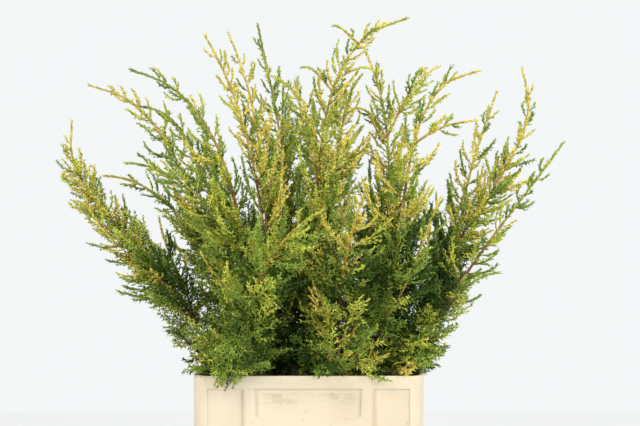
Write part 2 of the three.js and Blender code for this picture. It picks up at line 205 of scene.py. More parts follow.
def new_material(name, roughness):
    material = bpy.data.materials.new(name)
    material.use_nodes = True
    tree = material.node_tree
    shader = tree.nodes["Principled BSDF"]
    shader.inputs["Roughness"].default_value = roughness
    place = node(tree, "ShaderNodeTexCoord").outputs["Object"]
    return material, tree, shader, place


def within(value, low, high, soft):
    """A mask that is 1 where a value lies between two limits and fades out beside them."""
    middle, half = (low + high) / 2, (high - low) / 2
    return ramp(worked("ABSOLUTE", worked("SUBTRACT", value, middle)), half, half + soft, 1, 0)


def marked(base, colour, share, *masks):
    """A colour with another over it, up to a share, where all of its masks are 1."""
    total = masks[0]
    for mask in masks[1:]:
        total = worked("MULTIPLY", total, mask)
    return mixed(ramp(total, 0, 1, 0, share), base, colour)


CREAM = (0.595, 0.497, 0.352, 1)
CREAM_WORN = (0.665, 0.575, 0.432, 1)
GRIME = (0.33, 0.25, 0.155, 1)
DUST_AND_SHADE = (0.52, 0.42, 0.29, 1)
SMEAR = (0.80, 0.53, 0.27, 1)
SCUFF_PLACE = (-0.0036, 0, 0.2477)
SCUFF_TURN = math.radians(-37)

cream_plastic, tree, shader, place = new_material("cream_plastic", 0.42)
x_side, y_side, height = fed("ShaderNodeSeparateXYZ", place).outputs
beside = worked("ABSOLUTE", x_side)
front = ramp(y_side, -0.119, -0.117, 1, 0)
base = mixed(ramp(noise(place, 7, 3), 0.35, 0.7), CREAM, CREAM_WORN)

# Marks by how far across and up they reach, in metres. Painted shade, in the colour of dust, lies
# in the upright steps beside the label block and along the sides and top of the label recess.
under_rim = ramp(height, 0.278, 0.282, 1, 0)
cloud = ramp(noise(place, 45, 4), 0.3, 0.7, 0.35, 1)
# Painted shade in the steps beside the block, down the recess's sides and under its top edge
base = marked(base, DUST_AND_SHADE, 0.85, within(beside, 0.0935, 0.0985, 0.003), front, under_rim, cloud)
base = marked(base, DUST_AND_SHADE, 0.85, within(beside, 0.0735, 0.0775, 0.0018), front, cloud,
              within(height, 0.242, 0.279, 0.003))
base = marked(base, DUST_AND_SHADE, 0.7, within(height, 0.2795, 0.2810, 0.0012), front,
              within(x_side, -0.080, 0.078, 0.004))

# Smudges run across the top of the recess, a scuff lies slantwise under them, an orange smear
# beside it, and grime in the rim's left corner
smudges = ramp(noise(place, 62, 5, (1, 1, 1.8)), 0.45, 0.57)
base = marked(base, DUST_AND_SHADE, 0.9, smudges, front, within(height, 0.262, 0.272, 0.004),
              within(x_side, -0.060, 0.064, 0.012))
slantwise = fed("ShaderNodeMapping", place, vector_type="TEXTURE", Location=SCUFF_PLACE,
                Rotation=(0, SCUFF_TURN, 0)).outputs["Vector"]
scuff_x, _, scuff_z = fed("ShaderNodeSeparateXYZ", slantwise).outputs
base = marked(base, DUST_AND_SHADE, 0.8, within(scuff_x, -0.0055, 0.0055, 0.0015),
              within(scuff_z, -0.0004, 0.0004, 0.0006), front)
base = marked(base, SMEAR, 0.55, within(x_side, 0.112, 0.132, 0.005),
              within(height, 0.266, 0.268, 0.002), front)
base = marked(base, GRIME, 0.8, within(x_side, -0.166, -0.156, 0.003),
              within(height, 0.2965, 0.299, 0.001), ramp(noise(place, 160, 3), 0.45, 0.55))

# Pale stains run down all sides, and specks of grime are strewn over them
base = marked(base, DUST_AND_SHADE, 0.3, ramp(noise(place, 16, 5, (1, 1, 0.35)), 0.60, 0.78))
base = marked(base, GRIME, 0.7, ramp(noise(place, 190, 2), 0.71, 0.76))
tree.links.new(base, shader.inputs["Base Color"])
tree.links.new(ramp(noise(place, 60, 3), 0.3, 0.7, 0.36, 0.55), shader.inputs["Roughness"])
tree.links.new(bumped(noise(place, 700, 2), 0.12, 0.0004), shader.inputs["Normal"])
tub.data.materials.clear()
tub.data.materials.append(cream_plastic)
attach(tub, "root")
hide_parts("tub")


# The stems
# Cut juniper stems that stand loose on the tub's floor and lean out over its rim. The wood is
# thin, with red-brown bark that peels in strips and swells where side shoots have left it.

PLUME_START = 320         # height in millimetres at which a stem's own foliage begins
STEM_FOOT_RADIUS = 4.6
STEM_TIP_RADIUS = 0.9
FORK_RADIUS = 1.8
FOOT_PULL = 0.5           # a stem's foot stands this share of the way out to its rim crossing
FOOT_HEIGHT = 3.3
RIM_HEIGHT = TUB_SIZE[2]
HANDLES = (0.48, 0.3)     # how strongly a shoot keeps its slopes, as shares of its length
SHOOT_STEPS = 120
YOUNG_FROM = 0.72         # share of a stem's length from which its wood is young and coloured
MM = 0.001

# Where each stem crosses the rim and where its tip is, the slopes in degrees at which it rises
# there and ends, its forks by the height at which they leave it, and its foliage's main tint.
# Some say how long their twigs are beside the usual (lush), how early they take on the tip's
# colours (turn, where less is earlier), how close their finer twigs stand (fill), and from what
# share of their length the wood is young.
STEMS = {
    "left_low": dict(
        rim=(-145, 6), tip=(-371, 0, 683), rise=67, end=102, tint="gold", lush=0.85, turn=1.0,
        forks=[dict(at=350, tip=(-238, 24, 530), rise=72, end=80),
               dict(at=395, tip=(-344, -40, 566), rise=46, end=75)]),
    "left_arching": dict(
        rim=(-104, 62), tip=(-369, 120, 751), rise=72, end=10, tint="yellow_green",
        forks=[dict(at=430, tip=(-331, 60, 598), rise=62, end=2)]),
    "left_green": dict(
        rim=(-98, -44), tip=(-264, -110, 750), rise=94, end=9, tint="green",
        forks=[dict(at=440, tip=(-259, -40, 701), rise=62, end=5),
               dict(at=400, tip=(-264, -150, 610), rise=80, end=0)]),
    "left_gold": dict(
        rim=(-52, -30), tip=(-156, -70, 806), rise=86, end=59, tint="gold",
        forks=[dict(at=450, tip=(-128, 20, 822), rise=88, end=60)]),
    "back_green": dict(
        rim=(-36, 66), tip=(-88, 130, 856), rise=98, end=72, tint="green", fill=8.5,
        forks=[dict(at=470, tip=(-45, 150, 752), rise=60, end=110)]),
    "centre": dict(
        rim=(18, -22), tip=(148, -60, 833), rise=92, end=8, tint="olive_gold", lush=1.1, fill=6.8,
        forks=[dict(at=512, tip=(82, 0, 754), rise=64, end=50),
               dict(at=574, tip=(-58, 0, 752), rise=80, end=20),
               dict(at=725, tip=(-10, -20, 763), rise=50, end=-8),
               dict(at=745, tip=(97, -30, 758), rise=28, end=-35),
               dict(at=797, tip=(38, -50, 823), rise=35, end=0)]),
    "right_upright": dict(
        rim=(122, 58), tip=(90, 80, 804), rise=90, end=62, tint="yellow_green", lush=1.12, fill=6.8,
        forks=[dict(at=660, tip=(214, 105, 780), rise=62, end=22),
               dict(at=655, tip=(71, 90, 709), rise=60, end=-10)]),
    "right_arching": dict(
        rim=(92, -46), tip=(252, -110, 748), rise=70, end=5, tint="yellow_green", turn=1.2,
        forks=[dict(at=640, tip=(243, -130, 673), rise=35, end=5),
               dict(at=370, tip=(192, -130, 560), rise=50, end=60)]),
    "right_tall": dict(
        rim=(146, 28), tip=(343, 60, 772), rise=74, end=112, tint="gold", lush=0.88, turn=0.8, fill=9,
        forks=[dict(at=420, tip=(314, 140, 741), rise=60, end=60)]),
    "right_low": dict(
        rim=(150, -34), tip=(390, -40, 647), rise=60, end=55, tint="green", lush=0.5,
        forks=[dict(at=355, tip=(282, -90, 449), rise=50, end=5)]),
    "front_left": dict(
        rim=(-104, -98), tip=(21, -240, 542), rise=85, end=20, tint="lime_sprig", lush=0.8, turn=0.4,
        fill=30, young=0.56),
    "front_right": dict(
        rim=(46, -98), tip=(83, -220, 577), rise=100, end=40, tint="gold", lush=0.7, turn=0.12, fill=15,
        young=0.56),
    "back_left": dict(
        rim=(-92, 104), tip=(-190, 250, 655), rise=90, end=35, tint="green"),
    "back_middle": dict(
        rim=(14, 104), tip=(30, 285, 680), rise=90, end=30, tint="yellow_green"),
    "back_right": dict(
        rim=(90, 104), tip=(160, 245, 608), rise=90, end=30, tint="green"),
}


def unit(v):
    return v / np.maximum(np.linalg.norm(v, axis=-1, keepdims=True), 1e-9)


class Line:
    """A smooth line, known by close points along it. Shares run from 0 at its start to 1."""

    def __init__(self, points):
        self.points = np.asarray(points, float)
        steps = np.linalg.norm(np.diff(self.points, axis=0), axis=1)
        self.run = np.concatenate([[0], np.cumsum(steps)])
        self.length = self.run[-1]

    def at(self, share):
        spot = np.asarray(share, float) * self.length
        return np.stack([np.interp(spot, self.run, self.points[:, i]) for i in range(3)], -1)

    def heading(self, share):
        share = np.asarray(share, float)
        return unit(self.at(np.minimum(share + 0.004, 1)) - self.at(np.maximum(share - 0.004, 0)))

    def part(self, a, b):
        return Line(self.at(np.linspace(a, b, 80)))

    def share_at_height(self, height):
        """Where the line first reaches a height."""
        below = slice(0, np.argmax(self.points[:, 2] >= height) + 1)
        return np.interp(height, self.points[below, 2], self.run[below]) / self.length


def shoot_line(start, tip, rise, end, **_):
    """From a shoot's start to its tip, in the upright plane through both."""
    start, goal = np.asarray(start, float), np.asarray(tip, float)
    heading = unit((goal - start) * (1, 1, 0))
    length = np.linalg.norm(goal - start)

    def handle(degrees, share):
        slope = math.radians(degrees)
        return (heading * math.cos(slope) + np.array([0, 0, math.sin(slope)])) * share * length

    first, second = start + handle(rise, HANDLES[0]), goal - handle(end, HANDLES[1])
    t = np.linspace(0, 1, SHOOT_STEPS + 1)[:, None]
    return Line((1 - t) ** 3 * start + 3 * (1 - t) ** 2 * t * first
                + 3 * (1 - t) * t ** 2 * second + t ** 3 * goal)


def smooth_line(points):
    """A centripetal curve through the points."""
    points = np.asarray(points, float)
    whole = np.vstack([2 * points[0] - points[1], points, 2 * points[-1] - points[-2]])
    t = np.linspace(0, 1, 41)[:, None]
    made = []
    for p0, p1, p2, p3 in zip(whole, whole[1:], whole[2:], whole[3:]):
        d0, d1, d2 = (math.sqrt(np.linalg.norm(b - a)) for a, b in ((p0, p1), (p1, p2), (p2, p3)))
        leave = ((p1 - p0) / d0 - (p2 - p0) / (d0 + d1) + (p2 - p1) / d1) * d1
        arrive = ((p2 - p1) / d1 - (p3 - p1) / (d1 + d2) + (p3 - p2) / d2) * d1
        cubic = 2 * p1 - 2 * p2 + leave + arrive
        square = -3 * p1 + 3 * p2 - 2 * leave - arrive
        made.append(p1 + leave * t + square * t ** 2 + cubic * t ** 3)
    return Line(np.vstack([made[0]] + [m[1:] for m in made[1:]]))


def stem_line(row):
    """Straight from the foot on the tub's floor to the rim, then the stem's own shoot."""
    x, y = row["rim"]
    crossing = np.array([x, y, RIM_HEIGHT], float)
    foot = np.array([x * FOOT_PULL, y * FOOT_PULL, FOOT_HEIGHT])
    below = [foot + (crossing - foot) * share for share in (0, 0.45, 0.9)]
    above = shoot_line(crossing, **row).points
    return smooth_line(np.vstack([below, above[np.round(np.arange(1, 8) / 7 * SHOOT_STEPS).astype(int)]]))


def stem_radius(share):
    return STEM_TIP_RADIUS + (STEM_FOOT_RADIUS - STEM_TIP_RADIUS) * (1 - share) ** 1.1


def tubes(lines, radii, sides, rounded=0.6):
    """Closed tapering tubes along lines of K points: (N, K, 3) points and (N, K) or
    (N, K, sides) radii. Each ends in a low point at both ends."""
    lines = np.asarray(lines, float)
    count, rings = lines.shape[:2]
    radii = np.asarray(radii, float)
    if radii.ndim == 2:
        radii = np.repeat(radii[:, :, None], sides, 2)
    ahead = unit(np.concatenate(
        [lines[:, 1:2] - lines[:, :1], lines[:, 2:] - lines[:, :-2], lines[:, -1:] - lines[:, -2:-1]], 1))
    across = np.empty_like(lines)
    across[:, 0] = beside_of(ahead[:, 0])
    for k in range(1, rings):
        along = np.sum(across[:, k - 1] * ahead[:, k], -1, keepdims=True)
        across[:, k] = unit(across[:, k - 1] - along * ahead[:, k])
    third = np.cross(ahead, across)
    angle = np.arange(sides) * 2 * math.pi / sides
    around = across[:, :, None] * np.cos(angle)[:, None] + third[:, :, None] * np.sin(angle)[:, None]
    skin = lines[:, :, None] + around * radii[..., None]
    caps = np.stack([
        lines[:, 0] - ahead[:, 0] * radii[:, 0].mean(-1, keepdims=True) * rounded * 0.2,
        lines[:, -1] + ahead[:, -1] * radii[:, -1].mean(-1, keepdims=True) * rounded * 2], 1)
    points = np.concatenate([skin.reshape(count, -1, 3), caps], 1)
    here = np.arange(sides)
    beside = (here + 1) % sides
    foot_cap, tip_cap = (np.full(sides, rings * sides + end) for end in (0, 1))
    top = (rings - 1) * sides
    a, b = (np.arange(rings - 1)[:, None] * sides + corner for corner in (here, beside))
    faces = np.concatenate([np.stack(corners, -1).reshape(-1, 3) for corners in (
        (a, b, b + sides), (a, b + sides, a + sides),
        (foot_cap, beside, here), (tip_cap, top + here, top + beside))])
    return points, faces


def beside_of(directions):
    """For each of many directions, one that is square to it."""
    hint = np.where(np.abs(directions[:, 2:3]) < 0.9, (0.0, 0.0, 1.0), (1.0, 0.0, 0.0))
    return unit(np.cross(hint, directions))


def joined(batches):
    """Many like shapes as one list of points and one of triangles."""
    points, faces, start = [], [], 0
    for spots, pattern in batches:
        count, size = spots.shape[:2]
        offset = start + np.arange(count)[:, None, None] * size
        points.append(spots.reshape(-1, 3))
        faces.append((pattern[None] + offset).reshape(-1, 3))
        start += count * size
    return np.concatenate(points), np.concatenate(faces)


def make_piece(name, batches, material, nodes):
    """One mesh from shapes in millimetres, which rides on the body and stands for CAD nodes."""
    points, faces = joined(batches)
    mesh = bpy.data.meshes.new(name)
    mesh.vertices.add(len(points))
    mesh.vertices.foreach_set("co", (points * MM).astype(np.float32).ravel())
    mesh.loops.add(faces.size)
    mesh.loops.foreach_set("vertex_index", faces.astype(np.int32).ravel())
    mesh.polygons.add(len(faces))
    mesh.polygons.foreach_set("loop_start", np.arange(0, faces.size, 3, dtype=np.int32))
    mesh.update(calc_edges=True)
    mesh.shade_smooth()
    mesh.materials.append(material)
    piece = bpy.data.objects.new(name, mesh)
    bpy.context.scene.collection.objects.link(piece)
    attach(piece, "root")
    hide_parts(*nodes)


BARK_SIDES = 10
RING_EVERY = 6.0          # millimetres between the rings of a stem's mesh
# Depths of the bark's relief as shares of the radius
STRIPS = 0.06
GROOVES = 0.13
GRAIN = 0.045
JOINTS = 0.24
JOINT_HALF = 3.2          # half of a swollen joint's height
JOINT_APART = (24, 52)
WANDER = 0.22             # how far a ring strays from the line, once it is clear of its start
CLEAR_OF_START = 20


def bark_tube(line, radius_at, sides, luck):
    """A limb with the relief of its bark: flat strips, shallow grooves and swollen joints."""
    rings = max(8, round(line.length / RING_EVERY))
    share = np.linspace(0, 1, rings)
    run = share * line.length
    radius = np.array([radius_at(s) for s in share])
    angle = np.arange(sides) * 2 * math.pi / sides
    phase = luck.uniform(0, 2 * math.pi, 5)
    drift = (0.9 * np.sin(run / 55 + phase[0]) + 0.5 * np.sin(run / 21 + phase[1]))[:, None]
    strips = np.sin(3 * (angle[None] + drift) + phase[2]) * STRIPS
    grooves = -np.abs(np.sin(2.5 * (angle[None] - drift) + phase[3])) ** 6 * GROOVES
    grain = luck.uniform(-GRAIN, GRAIN, (rings, sides))
    swelling = np.zeros(rings)
    for joint in np.cumsum(luck.uniform(*JOINT_APART, int(line.length / np.mean(JOINT_APART)) + 1)):
        swelling += JOINTS * np.exp(-((run - joint) / JOINT_HALF) ** 2)
    relief = 1 + strips + grooves + grain + swelling[:, None]
    wander = luck.normal(0, WANDER, (rings, 3)) * np.minimum(1, run / CLEAR_OF_START)[:, None]
    return tubes((line.at(share) + wander)[None], (radius[:, None] * relief)[None], sides)


def effect(name, **sockets):
    """An empty shader node group with named inputs and outputs."""
    group = bpy.data.node_groups.new(name, "ShaderNodeTree")
    for label, use in sockets.items():
        way, kind = use.split()
        group.interface.new_socket(label, in_out=f"{way.upper()}PUT", socket_type=f"NodeSocket{kind}")
    return group, group.nodes.new("NodeGroupInput").outputs, group.nodes.new("NodeGroupOutput").inputs


def surfaced(shader, place, group, **values):
    """Puts an effect in a material, with the material's own values, and returns its colour."""
    surface = fed("ShaderNodeGroup", place, node_tree=group, **values)
    for name in ("Roughness", "Normal"):
        place.id_data.links.new(surface.outputs[name], shader.inputs[name])
    return surface.outputs["Colour"]


# Both the old bark and the young wood have fibres that run up the stem, with a matt and a
# smoother tone, and a fine relief that follows them
wood_fibre, given, made = effect(
    "wood_fibre", Place="in Vector", Fineness="in Float", Furrow="in Color", Ridge="in Color",
    Colour="out Color", Roughness="out Float", Normal="out Vector")
link = wood_fibre.links.new
fibre = noise(given["Place"], 120, 5, (1, 1, 0.15))
link(given["Fineness"], fibre.node.inputs["Scale"])
link(mixed(ramp(fibre, 0.35, 0.62), given["Furrow"], given["Ridge"]), made["Colour"])
link(ramp(fibre, 0.3, 0.7, 0.86, 0.6), made["Roughness"])
link(bumped(fibre, 0.5, 0.0005), made["Normal"])

BARK_DARK = (0.060, 0.026, 0.014, 1)
BARK_RED = (0.20, 0.075, 0.032, 1)
BARK_PALE = (0.36, 0.21, 0.12, 1)
bark, tree, shader, place = new_material("juniper_bark", 0.78)
colour = surfaced(shader, place, wood_fibre, Fineness=120, Furrow=BARK_DARK, Ridge=BARK_RED)
flakes = ramp(noise(place, 90, 3, (1, 1, 0.4)), 0.56, 0.66)
tree.links.new(mixed(flakes, colour, BARK_PALE), shader.inputs["Base Color"])

stem_lines = {name: stem_line(row) for name, row in STEMS.items()}
young_from = {name: row.get("young", YOUNG_FROM) for name, row in STEMS.items()}
luck = np.random.default_rng(11)
batches = []
for name, line in stem_lines.items():
    lower = line.part(0, young_from[name] + 0.02)
    batches.append(bark_tube(lower, lambda s: stem_radius(s * young_from[name]), BARK_SIDES, luck))
make_piece("stems_in_bark", batches, bark, [f"stem_{name}" for name in STEMS])


# The side shoots and twigs
# Where a stem reaches its own foliage it carries shoots, and the shoots carry twigs all round
# them. This is young wood, smooth and orange-brown, that grows thinner towards every tip.

# The skirt of low shoots over the rim: the oval on which their tips stand, a height that falls
# across it, the heights at which they leave the stems, and their slopes
SKIRT = dict(
    count=12, first_angle=12, middle=-24, reach_x=198, reach_y=188, height=352, slope=-0.02,
    start=305, stagger=4, rise=25, end=-4)
# The main twigs of a shoot: their spacing, the longest and the last one's length, and how far
# they open from the shoot at its foot and at its tip
PLUME_RULE = dict(every=37, reach=128, tip_reach=17, open_low=50, open_high=30)
SKIRT_RULE = dict(every=14, reach=92, tip_reach=26, open_low=62, open_high=42)
# The share of a shoot that is bare at its foot, and the straight stretches it is tested by
LEADER = dict(bare=0.03, steps=14)
FORK = dict(bare=0.2, steps=10)
SKIRT_SHOOT = dict(bare=0.16, steps=6)
FORK_LUSH = 0.7
FORK_FULL = 260           # a fork shorter than this carries shorter twigs in proportion
FILL_EVERY = 11           # spacing of the finer twigs between the main ones
TINT_TURN = 0.45


def new_shoot(line, radius, lush, bare, steps):
    points = line.at(np.linspace(0, 1, steps + 1))
    return dict(line=line, radius=radius, bare=bare, lush=lush, points=points)


# Every mass of foliage by its shoots: each stem's own, and the skirt's
masses = []
limbs = []
for name, row in STEMS.items():
    line = stem_lines[name]
    start = line.share_at_height(PLUME_START)
    limbs.append((line.at(np.linspace(0, start, 17)), stem_radius(start)))
    lush = row.get("lush", 1)
    shoots = [new_shoot(line.part(start, 1), stem_radius(start), lush, **LEADER)]
    for fork in row.get("forks", []):
        side = shoot_line(line.at(line.share_at_height(fork["at"])), **fork)
        fork_lush = lush * FORK_LUSH * min(1, side.length / FORK_FULL)
        shoots.append(new_shoot(side, FORK_RADIUS, fork_lush, **FORK))
    masses.append(dict(name=f"foliage_{name}", shoots=shoots, rule=PLUME_RULE, tint=row["tint"],
                       turn=row.get("turn", TINT_TURN), fill=row.get("fill", FILL_EVERY)))

for i in range(SKIRT["count"]):
    angle = math.radians(SKIRT["first_angle"] + i * 360 / SKIRT["count"])
    x = SKIRT["middle"] + SKIRT["reach_x"] * math.cos(angle)
    tip = np.array([x, SKIRT["reach_y"] * math.sin(angle), SKIRT["height"] + SKIRT["slope"] * x])
    height = SKIRT["start"] + (i % 3) * SKIRT["stagger"]
    starts = [line.at(line.share_at_height(height)) for line in stem_lines.values()]
    start = min(starts, key=lambda spot: np.linalg.norm(spot - tip))
    side = shoot_line(start, tip, SKIRT["rise"], SKIRT["end"])
    masses.append(dict(name=f"skirt_{i + 1}", shoots=[new_shoot(side, FORK_RADIUS, 1, **SKIRT_SHOOT)],
                       rule=SKIRT_RULE, tint="yellow_green" if i % 3 == 1 else "deep_green",
                       turn=1.0, fill=FILL_EVERY))

SPACE_MARGIN = 1.6        # what a twig keeps clear of its neighbours' space, the stems and the tub
LIMB_MARGIN = 2.6
TUB_MARGIN = 3
space_starts = np.vstack([s["points"][:-1] for m in masses for s in m["shoots"]])
space_ends = np.vstack([s["points"][1:] for m in masses for s in m["shoots"]])
space_owner = np.concatenate(
    [np.full(len(s["points"]) - 1, k) for k, m in enumerate(masses) for s in m["shoots"]])
limb_starts = np.vstack([points[:-1] for points, _ in limbs])
limb_ends = np.vstack([points[1:] for points, _ in limbs])
limb_rooms = np.concatenate([np.full(len(points) - 1, radius + LIMB_MARGIN) for points, radius in limbs])


def gaps_to(spots, starts, ends):
    """How far each of P spots is from each of S straight stretches."""
    reach = ends - starts
    long = np.maximum(np.sum(reach * reach, -1), 1e-9)
    t = np.clip(((spots[:, None] - starts) * reach).sum(-1) / long, 0, 1)
    return np.linalg.norm(spots[:, None] - starts - t[..., None] * reach, axis=-1)


def outside_tub(spots, margin=TUB_MARGIN):
    return ((spots[:, 2] > TUB_SIZE[2] + margin)
            | (np.abs(spots[:, 0]) > TUB_SIZE[0] / 2 + margin)
            | (np.abs(spots[:, 1]) > TUB_SIZE[1] / 2 + margin))


def free(spots, owner, margin=SPACE_MARGIN):
    """Which spots are nearer a mass's own shoots than any other's, and off the stems and tub."""
    gaps = gaps_to(spots, space_starts, space_ends)
    own = space_owner == owner
    clear = gaps[:, own].min(1) + margin + FORK_RADIUS < gaps[:, ~own].min(1)
    off_stems = (gaps_to(spots, limb_starts, limb_ends) > limb_rooms).all(1)
    return clear & off_stems & outside_tub(spots)


def turned(v, axis, angle):
    """A vector turned about a unit axis."""
    c, s = np.cos(angle), np.sin(angle)
    return v * c + np.cross(axis, v) * s + axis * np.sum(axis * v, -1, keepdims=True) * (1 - c)


def sideways(along, angle):
    side = np.cross((0, 0, 1), along)
    if np.linalg.norm(side) < 0.05:
        side = np.array([1.0, 0, 0])
    return turned(unit(side), along, angle)


# A flat spray of foliage is tried at its corners, which lie in pairs on both sides of its twig,
# as shares of its length and of its half width. Longer sprays have more.
SPRAY_CORNERS = [
    (34, [(0.55, 1), (0.42, 0.26)]),
    (95, [(0.09, 0.13), (0.47, 1), (0.36, 0.26), (0.75, 0.7), (0.64, 0.15)]),
    (1e9, [(0.08, 0.12), (0.36, 0.88), (0.29, 0.24), (0.6, 1), (0.47, 0.27), (0.82, 0.6), (0.74, 0.14)])]
SPRAY_HALF = 0.42
SPRAY_ALONG = np.array([0.25, 0.4, 0.55, 0.7, 0.85])[:, None]
SPRAY_ROLL = 1.3
ROLL_BY_TURN = 0.2
ROOT_SHARE = 0.2          # so near its root a spray may stand beside others
ROOT_RADII = 4            # and nearer than so many radii it isn't tried at all
BESIDE = 0.18             # how near one twig may come to another, as a share of its length
TWIG_ROOM = 5
# A spray's size and how far it opens, tried in this order, and its turns in sixths round the shoot
TRIED_SIZES = [
    (1, 1), (1, 0.6), (1, 0.35), (0.85, 0.9), (0.85, 0.45), (0.7, 0.8), (0.7, 0.4), (0.55, 0.7), (0.42, 0.8)]
TRIED_TURNS = [0, 1, -1, 2, -2, 3]


def spray_corners(length):
    half = next(corners for limit, corners in SPRAY_CORNERS if length < limit)
    flat = [(0, 0), (1, 0)] + half + [(u, -v) for u, v in half]
    return np.array([(u * length, v * SPRAY_HALF * length) for u, v in flat])


def spray_fits(owner, shoot, root, along, up, length, ribs, beside):
    """Whether a flat spray keeps to its own space, and off its neighbours past its root."""
    across = unit(np.cross(up, along))
    flat = spray_corners(length)
    corners = root + flat[:, :1] * along + flat[:, 1:] * across
    spots = np.vstack([root + along * length * SPRAY_ALONG, corners])
    out = np.linalg.norm(spots - root, axis=1)
    if not free(spots[out > FORK_RADIUS * ROOT_RADII], owner).all():
        return False
    far = spots[out >= length * ROOT_SHARE]
    if ribs:
        starts, ends = (np.array([rib[i] for rib in ribs]) for i in (0, 1))
        rooms = beside * np.linalg.norm(ends - starts, axis=1)
        if (gaps_to(far, starts, ends) < rooms).any():
            return False
    for other in masses[owner]["shoots"]:
        room = TWIG_ROOM / 2 if other is shoot else TWIG_ROOM
        if (gaps_to(far, other["points"][:-1], other["points"][1:]) <= room).any():
            return False
    return True


def fit_spray(owner, shoot, twig, ribs, beside):
    """The largest spray that can leave a shoot there, turned to where there is room for it."""
    root, axis, out, open_angle, full = twig
    for size, lean in TRIED_SIZES:
        for turn in TRIED_TURNS:
            away = turned(out, axis, turn * math.pi / 3)
            along = turned(axis, np.cross(axis, away), open_angle * lean)
            up = turned(np.cross(away, axis), along, SPRAY_ROLL + turn * ROLL_BY_TURN)
            if spray_fits(owner, shoot, root, along, up, full * size, ribs, beside):
                ribs.append((root, root + along * full * size))
                return dict(root=root, along=along, up=up, length=full * size, away=away)
    return None


REACH_POWER = 1.8         # a leafy plume narrows sooner than its outline
REACH_JITTER = 0.15
TURN_JITTER = 0.7
GOLDEN_ANGLE = math.radians(137.5)
LAST_SPRAY = 1.8          # the last twig stands so many of its own lengths from the tip
FILL_SIZE = 0.75          # the finer twigs' length as a share of a main twig's there
FILL_BESIDE = 0.05


def dice(seed):
    """Random numbers that come out the same on every run."""
    state = [seed]

    def roll():
        state[0] = (state[0] * 1664525 + 1013904223) & 0xFFFFFFFF
        return state[0] / 4294967296
    return roll


def twigs_of(shoot, rule, last, roll, every):
    line, bare, lush = shoot["line"], shoot["bare"], shoot["lush"]
    count = round(line.length * (last - bare) / every)
    for i in range(count):
        t = bare + (last - bare) * (i + 0.3) / count
        axis = line.heading(t)
        out = sideways(axis, i * GOLDEN_ANGLE + roll() * TURN_JITTER)
        opening = math.radians(rule["open_low"] + (rule["open_high"] - rule["open_low"]) * t)
        reach = rule["tip_reach"] + (rule["reach"] * lush - rule["tip_reach"]) * (1 - t ** 2) ** REACH_POWER
        yield t, line.at(t), axis, out, opening, reach * (1 + REACH_JITTER * (2 * roll() - 1))


OPENING = (165, 120)      # half sides of the tub's opening
OPENING_DEPTH = 276       # the lowest height that twigs reach inside it
LOW_BOUNDS = (226, 200)   # half axes of the oval that the low twigs fill
OVAL_WIDENS = (350, 160)  # the height from which it widens, and how slowly
HANG = 26                 # how far the foliage hangs over the rim near the tub's corners
HANG_AT = math.radians(-129)
OVER_RIM = 40             # a twig whose tip is so far above the rim is free of this space


def in_low_bounds(spots):
    """Which spots lie in the low foliage's space: over the opening, and a little over the rim."""
    inside = (np.abs(spots[:, :2]) < OPENING).all(1) & (spots[:, 2] > OPENING_DEPTH)
    around = np.arctan2(spots[:, 1], spots[:, 0])
    edge = RIM_HEIGHT + 2 - HANG * np.maximum(0, np.cos(4 * (around - HANG_AT)))
    over = outside_tub(spots) & (spots[:, 2] > edge)
    widened = 1 + np.maximum(0, spots[:, 2] - OVAL_WIDENS[0]) / OVAL_WIDENS[1]
    return (inside | over) & (((spots[:, :2] / LOW_BOUNDS) ** 2).sum(1) < widened)


def grow(owner, mass, ribs, roll, every, beside, finer=False):
    """Twigs along all shoots of a mass, where they fit. Those that end too low are left off."""
    rule = mass["rule"]
    top = max(shoot["points"][:, 2].max() for shoot in mass["shoots"])
    for shoot in mass["shoots"]:
        last = 1 - min(0.5, rule["tip_reach"] * LAST_SPRAY / shoot["line"].length)
        for t, *twig, full in twigs_of(shoot, rule, last, roll, every):
            if finer:
                full *= FILL_SIZE * (0.7 + 0.6 * roll())
            spray = fit_spray(owner, shoot, (*twig, full), ribs, beside)
            if not spray:
                continue
            end = spray["root"] + spray["along"] * spray["length"]
            if end[2] > RIM_HEIGHT + OVER_RIM or in_low_bounds(end[None]).all():
                # how far up its plume it grows, from 0 to 1, or how far out on a skirt's shoot
                if rule is not SKIRT_RULE:
                    t = min(1, max(0, (spray["root"][2] - PLUME_START) / (top - PLUME_START)))
                sprays.append(dict(spray, owner=owner, t=t))


sprays = []
for owner, mass in enumerate(masses):
    ribs = []
    every = mass["rule"]["every"]
    grow(owner, mass, ribs, dice(owner + 1), every, BESIDE)
    grow(owner, mass, ribs, dice(owner + 101), min(every, mass["fill"]), FILL_BESIDE, finer=True)

LOW_TWIGS = 50            # short twigs that a stem carries low down, and those that carry more
LOW_TWIGS_MORE = dict(
    front_left=84, front_right=72, right_low=72, left_gold=84, centre=80, back_middle=60)
LOW_FROM, LOW_TOP = 284, 500
LOW_TOPS = dict(right_low=430)
LOW_REACH = (36, 82)
LOW_CROWDING = 1.35       # how much closer they stand towards the foot
LOW_LEAN = (38, 98)       # degrees from the stem, a little less for every millimetre above the rim
LOW_LEAN_LESS = 0.2
LEAN_IN_TUB = (25, 55)
LOW_TRIES = 6             # a twig that doesn't fit is turned and shortened so many times
TRY_TURN = 1.3
TRY_SHORTER = 0.08
ALONG_TWIG = np.linspace(0.1, 1, 12)[:, None]  # where a low twig is tested against the tub's wall
ROLL_SPREAD = 0.6
LOW = -1.0                # a low twig has no share of a plume
luck = np.random.default_rng(41)


def add_twig(owner, root, along, long, away, flat, t=LOW, needly=False):
    up = turned(flat, along, SPRAY_ROLL + luck.normal(0, ROLL_SPREAD))
    sprays.append(dict(root=root, along=along, up=up, length=long, away=away, owner=owner, t=t,
                       needly=needly))


